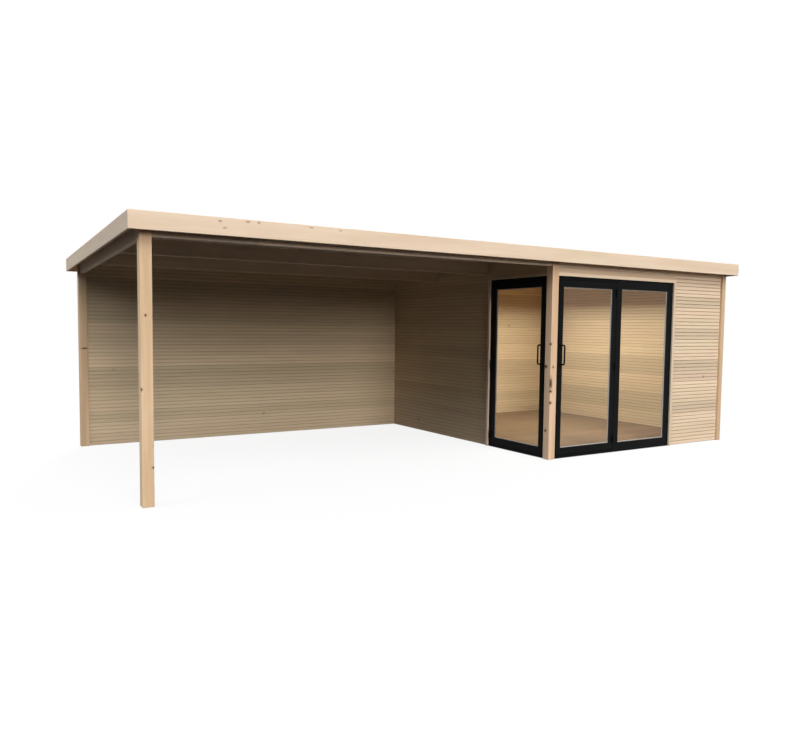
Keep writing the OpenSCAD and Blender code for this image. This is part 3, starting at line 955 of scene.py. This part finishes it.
class GARDENROOM_OT_handles(PieceOperator, bpy.types.Operator):
    """Pull handles on both leaves"""

    bl_idname = "gardenroom.handles"
    bl_label = "Pull handles"

    def make(self, room):
        """A bent bar and two roses on each leaf."""
        for node, out, body in (("front_leaf_handle", 1, FRONT_LEAF), ("side_leaf_handle", 0, SIDE_LEAF)):
            self.pull(node, out, body, room.fittings)

    def pull(self, node, out, body, sizes):
        """A round bar carried along a D: out of the leaf, a quarter bend, the grip, a quarter bend and back.
        Each ring of the bar stands square to the path. The roses are profiles turned about the legs."""
        low, high = (np.array(corner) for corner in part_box(node))
        side = 1 - out
        radius = (high[side] - low[side]) / 2
        middle = (low + high) / 2
        reach = high[out] - low[out] - radius
        half = (high[2] - low[2]) / 2 - radius
        turn = np.linspace(0.0, QUARTER, BEND_POINTS)
        bend = np.stack([reach - sizes.bend + sizes.bend * np.sin(turn),
                         half - sizes.bend + sizes.bend * np.cos(turn)], axis=1)
        upper = np.vstack([(0.0, half), bend])
        path = np.concatenate([upper, upper[::-1] * (1.0, -1.0)])
        along = np.gradient(path, axis=0)
        along[0], along[-1] = (1.0, 0.0), (-1.0, 0.0)
        along /= np.linalg.norm(along, axis=1)[:, None]
        spin = np.linspace(0.0, 2 * math.pi, BAR_SIDES, endpoint=False)
        bar = np.empty((1, len(path), BAR_SIDES, 3))
        bar[0, ..., out] = high[out] - path[:, :1] + radius * along[:, 1:] * np.cos(spin)
        bar[0, ..., 2] = middle[2] + path[:, 1:] + radius * along[:, :1] * np.cos(spin)
        bar[0, ..., side] = middle[side] + radius * np.sin(spin)
        # Outline of a rose: shares of its thickness and of its radius
        rise, wide = np.array([(0.0, 1.0), (0.6, 1.0), (1.0, 0.82), (1.0, 0.55)]).T[..., None]
        rose = np.empty((1, len(rise), BAR_SIDES, 3))
        rose[0, ..., out] = high[out] - rise * sizes.rose_t
        rose[0, ..., side] = middle[side] + wide * sizes.rose_d / 2 * np.sin(spin)
        rose[0, ..., 2] = middle[2] + wide * sizes.rose_d / 2 * np.cos(spin)
        foot = half * np.array([0.0, 0.0, 1.0])
        points, faces = joined([bar, rose + foot, rose - foot])
        make_piece(node + "_pull", points, black_coat("black_hardware_coat"), "black_hardware", [node], body,
                   faces, smooth=True)


class GARDENROOM_OT_stage(PieceOperator, bpy.types.Operator):
    """White floor, soft light and the camera"""

    bl_idname = "gardenroom.stage"
    bl_label = "Stage"

    def make(self, room):
        """Floor, surround, the key, high, side and back lights, the room light and the camera."""
        stage = room.stage
        self.floor(stage)
        self.surround(stage)
        for name in SUNS:
            self.sun(stage, name)
        self.fill(stage)
        self.camera(stage)
        bpy.context.scene.view_settings.view_transform = "Standard"

    def seen(self, tree):
        """1 on rays from the camera, straight or by way of gloss and glass."""
        path = add(tree, "ShaderNodeLightPath")
        mirrored = value_of(tree, "MAXIMUM", path["Is Camera Ray"], path["Is Glossy Ray"])
        return value_of(tree, "MAXIMUM", mirrored, path["Is Transmission Ray"])

    def floor(self, stage):
        """A level square just under the posts that looks white but for part of the shadows."""
        half = stage.floor_size / 2
        corners = [(x * half, y * half, -FLOOR_DROP) for x, y in ((-1, -1), (1, -1), (1, 1), (-1, 1))]
        mesh = bpy.data.meshes.new("studio_floor")
        mesh.from_pydata(corners, [], [(0, 1, 2, 3)])
        floor = placed("studio_floor", mesh)
        material = bpy.data.materials.new("studio_floor")
        material.use_nodes = True
        tree = material.node_tree
        tree.nodes.clear()
        white = add(tree, "ShaderNodeEmission", {"Color": WHITE, "Strength": 1.0})[0]
        shaded = add(tree, "ShaderNodeBsdfDiffuse", {"Color": opaque(FLOOR_PAINT)})[0]
        bounce = add(tree, "ShaderNodeBsdfDiffuse", {"Color": opaque(stage.floor_bounce)})[0]
        shown = add(tree, "ShaderNodeMixShader", {0: stage.floor_shade, 1: white, 2: shaded})[0]
        both = add(tree, "ShaderNodeMixShader", {0: self.seen(tree), 1: bounce, 2: shown})[0]
        add(tree, "ShaderNodeOutputMaterial", {"Surface": both})
        mesh.materials.append(material)

    def surround(self, stage):
        """A dome of light that is weaker towards the horizon and looks white."""
        world = bpy.data.worlds.new("studio_surround")
        bpy.context.scene.world = world
        world.use_nodes = True
        tree = world.node_tree
        tree.nodes.clear()
        way = add(tree, "ShaderNodeTexCoord")["Generated"]
        height = add(tree, "ShaderNodeSeparateXYZ", {0: way})["Z"]
        strength = mapped(tree, height, *DOME_EDGE, stage.horizon, stage.dome)
        light = add(tree, "ShaderNodeBackground", {"Color": opaque(stage.sky), "Strength": strength})[0]
        white = add(tree, "ShaderNodeBackground", {"Color": WHITE, "Strength": 1.0})[0]
        both = add(tree, "ShaderNodeMixShader", {0: self.seen(tree), 1: light, 2: white})[0]
        add(tree, "ShaderNodeOutputWorld", {"Surface": both})

    def sun(self, stage, name):
        """A broad, soft light from far off."""
        lamp = bpy.data.lights.new(name + "_light", "SUN")
        lamp.energy = getattr(stage, name)
        lamp.color = getattr(stage, name + "_colour")
        lamp.angle = getattr(stage, name + "_angle")
        way = Vector(getattr(stage, name + "_from"))
        placed(name + "_light", lamp).rotation_euler = way.to_track_quat("Z", "Y").to_euler()

    def fill(self, stage):
        """A soft light in the room, under its ceiling."""
        low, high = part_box("floor_boards")
        lamp = bpy.data.lights.new("room_light", "AREA")
        lamp.energy = stage.fill
        lamp.color = stage.fill_colour
        lamp.size = stage.fill_size
        light = placed("room_light", lamp)
        light.location = (low + high) / 2
        light.location.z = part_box("room_joists")[0].z - stage.fill_drop
        for ray in ("camera", "glossy", "transmission"):
            setattr(light, "visible_" + ray, False)

    def camera(self, stage):
        """The camera at the viewing angle: it looks along yaw and pitch, and is turned by the roll."""
        data = bpy.data.cameras.new("camera")
        data.sensor_width = SENSOR
        data.sensor_fit = "HORIZONTAL"
        data.lens = stage.lens
        ahead = Vector((
            math.sin(stage.yaw) * math.cos(stage.pitch),
            math.cos(stage.yaw) * math.cos(stage.pitch),
            math.sin(stage.pitch),
        ))
        right = Vector((math.cos(stage.yaw), -math.sin(stage.yaw), 0.0))
        level = Matrix((right, right.cross(ahead), -ahead)).transposed()
        turned = level @ Matrix.Rotation(stage.roll, 3, "Z")
        camera = placed("camera", data)
        camera.matrix_world = Matrix.Translation(stage.eye) @ turned.to_4x4()
        bpy.context.scene.camera = camera


# The operators in the order they are written above
OPERATORS = tuple(PieceOperator.__subclasses__())


class GARDENROOM_PT_panel(bpy.types.Panel):
    """Lists the operators in the order they run"""

    bl_label = "Garden Room"
    bl_idname = "GARDENROOM_PT_panel"
    bl_space_type = "VIEW_3D"
    bl_region_type = "UI"
    bl_category = "Garden Room"

    def draw(self, context):
        """One button for each operator."""
        for operator in OPERATORS:
            self.layout.operator(operator.bl_idname)


CLASSES = (
    TimberSizes, RoofSizes, FittingSizes, Colours, StageSettings, GardenRoomSettings,
    *OPERATORS, GARDENROOM_PT_panel,
)


def register():
    """Registers the classes and the scene's settings."""
    for cls in CLASSES:
        bpy.utils.register_class(cls)
    bpy.types.Scene.garden_room = bpy.props.PointerProperty(type=GardenRoomSettings)


def unregister():
    """Takes the settings and the classes away again."""
    del bpy.types.Scene.garden_room
    for cls in reversed(CLASSES):
        bpy.utils.unregister_class(cls)


def main():
    """Registers the add-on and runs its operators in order."""
    register()
    for operator in OPERATORS:
        group, action = operator.bl_idname.split(".")
        getattr(getattr(bpy.ops, group), action)()


if __name__ == "__main__":
    main()
